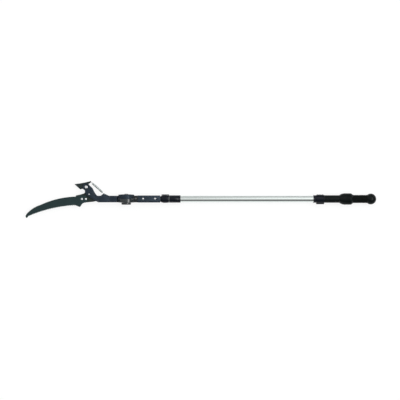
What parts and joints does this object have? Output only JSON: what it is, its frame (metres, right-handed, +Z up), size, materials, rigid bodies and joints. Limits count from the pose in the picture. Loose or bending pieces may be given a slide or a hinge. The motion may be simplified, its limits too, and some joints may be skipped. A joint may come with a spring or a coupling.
{
  "type": "telescoping pole saw",
  "caption": "Telescoping pole saw and pruner: curved saw blade, sprung pruning blade, swivel head, lever locks and a pull grip with a ball end.",
  "frame": {"origin": "centre of the bounding box in X and Y, on the surface it lies on", "axes": "+X along the pole towards the ball grip, saw at -X; blades in the XY plane; +Z up from the surface the tool lies on"},
  "size_m": [2.1311, 0.226, 0.0835],
  "materials": {
    "black_casting": "satin",
    "jaw_steel": "satin",
    "saw_steel": "low-friction coating",
    "blade_steel": "low-friction coating",
    "bright_steel": "zinc plated",
    "dark_steel": "blackened",
    "spring_steel": "zinc plated",
    "bronze": "plain",
    "aluminium": "polished",
    "hub_plastic": "moulded",
    "socket_grey": "satin",
    "collar_plastic": "moulded",
    "handle_plastic": "moulded",
    "rubber_black": "fine texture",
    "tube_black": "black anodised",
    "bush_plastic": "natural",
    "webbing": "woven",
    "cable_steel": "braided"
  },
  "bodies": {
    "pole": {"outer_tube": "aluminium", "front_bush": "bush_plastic", "front_collar": "collar_plastic", "collar_sleeve": "collar_plastic", "front_lever_pin": "bright_steel", "pole_ring": "bush_plastic"},
    "front_lever": {"front_lever": "collar_plastic"},
    "top_section": {"swivel_base": "hub_plastic", "neck_screw": "dark_steel", "pole_socket": "socket_grey", "socket_screws": "bright_steel", "inner_tube": "tube_black", "inner_bush": "bush_plastic"},
    "head": {"head_frame": "black_casting", "head_cover": "black_casting", "jaw_plate": "jaw_steel", "saw_blade": "saw_steel", "saw_bolts": "bright_steel", "saw_nuts": "bright_steel", "pivot_bolt": "bright_steel", "pivot_nut": "bright_steel", "pivot_bush": "bronze", "roller_pin": "bright_steel", "neck_strap": "webbing", "cover_screws": "dark_steel", "spring_anchor": "spring_steel", "swivel_spindle": "bright_steel", "swivel_cap": "hub_plastic", "thrust_washer": "bush_plastic"},
    "knob": {"swivel_knob": "hub_plastic"},
    "cutter": {"pruning_blade": "blade_steel", "strap_drum": "bright_steel", "spring_post": "dark_steel"},
    "roller": {"guide_roller": "bright_steel"},
    "spring_base": {"lower_hook": "spring_steel", "return_spring": "spring_steel"},
    "spring_top": {"upper_hook": "spring_steel"},
    "block": {"pulley_block": "dark_steel", "arm_strap": "webbing", "head_cable": "cable_steel"},
    "sheave": {"block_sheave": "bush_plastic"},
    "handle": {"rear_collar": "collar_plastic", "rear_lever_pin": "bright_steel", "handle_tube": "handle_plastic", "end_plug": "handle_plastic"},
    "rear_lever": {"rear_lever": "collar_plastic"},
    "pull_grip": {"stop_front": "handle_plastic", "stop_back": "handle_plastic", "grip_sleeve": "rubber_black", "ball_front": "handle_plastic", "ball_back": "handle_plastic", "ball_screws": "dark_steel", "pull_rod": "bright_steel", "rod_piston": "bush_plastic", "pole_cable": "cable_steel"}
  },
  "joints": [
    {"name": "telescope", "type": "slide", "parent": "pole", "child": "top_section", "axis": [-1, 0, 0], "range_m": [0, 1]},
    {"name": "front_lock", "type": "hinge", "parent": "pole", "child": "front_lever", "pos_m": [-0.21585, 0.02835, 0.033], "axis": [-1, 0, 0], "range_deg": [0, 100]},
    {"name": "head_swivel", "type": "hinge", "parent": "top_section", "child": "head", "pos_m": [-0.45335, 0.00325, 0.035], "axis": [0, 1, 0], "range_deg": [-115, 115]},
    {"name": "knob_turn", "type": "hinge", "parent": "head", "child": "knob", "pos_m": [-0.45335, -0.02475, 0.035], "axis": [0, 1, 0], "range_deg": [-180, 180]},
    {"name": "handle_slide", "type": "slide", "parent": "pole", "child": "handle", "axis": [1, 0, 0], "range_m": [0, 0.12]},
    {"name": "rear_lock", "type": "hinge", "parent": "handle", "child": "rear_lever", "pos_m": [0.72515, -0.02545, 0.033], "axis": [1, 0, 0], "range_deg": [0, 100]},
    {"name": "pull", "type": "slide", "parent": "handle", "child": "pull_grip", "axis": [1, 0, 0], "range_m": [0, 0.038], "stiffness_N_per_m": 300, "springref_m": -0.03},
    {"name": "blade_pivot", "type": "hinge", "parent": "head", "child": "cutter", "pos_m": [-0.69615, 0.07615, 0.035], "axis": [0, 0, 1], "range_deg": [0, 50]},
    {"name": "spring_swing", "type": "hinge", "parent": "head", "child": "spring_base", "pos_m": [-0.58835, 0.03525, 0.035], "axis": [0, 0, 1], "range_deg": [0, 6.78]},
    {"name": "spring_stretch", "type": "slide", "parent": "spring_base", "child": "spring_top", "axis": [-0.7446, 0.6675, 0], "range_m": [0, 0.03187], "deforming": ["return_spring", "upper_hook"]},
    {"name": "block_slide", "type": "slide", "parent": "head", "child": "block", "axis": [1, 0, 0], "range_m": [0, 0.019]},
    {"name": "sheave_turn", "type": "hinge", "parent": "block", "child": "sheave", "pos_m": [-0.57335, 0.00325, 0.035], "axis": [0, 0, 1], "range_deg": [-360, 360]},
    {"name": "roller_turn", "type": "hinge", "parent": "head", "child": "roller", "pos_m": [-0.67835, 0.03225, 0.035], "axis": [0, 0, 1], "range_deg": [-360, 360]}
  ],
  "couplings": [
    {"joint": "blade_pivot", "follows": "pull", "rad_per_m": 22.965},
    {"joint": "spring_swing", "follows": "pull", "rad_per_m": 3.1159},
    {"joint": "spring_stretch", "follows": "pull", "ratio": 0.83873},
    {"joint": "block_slide", "follows": "pull", "ratio": 0.5},
    {"joint": "sheave_turn", "follows": "pull", "rad_per_m": 58.824},
    {"joint": "roller_turn", "follows": "pull", "rad_per_m": 89.286}
  ]
}
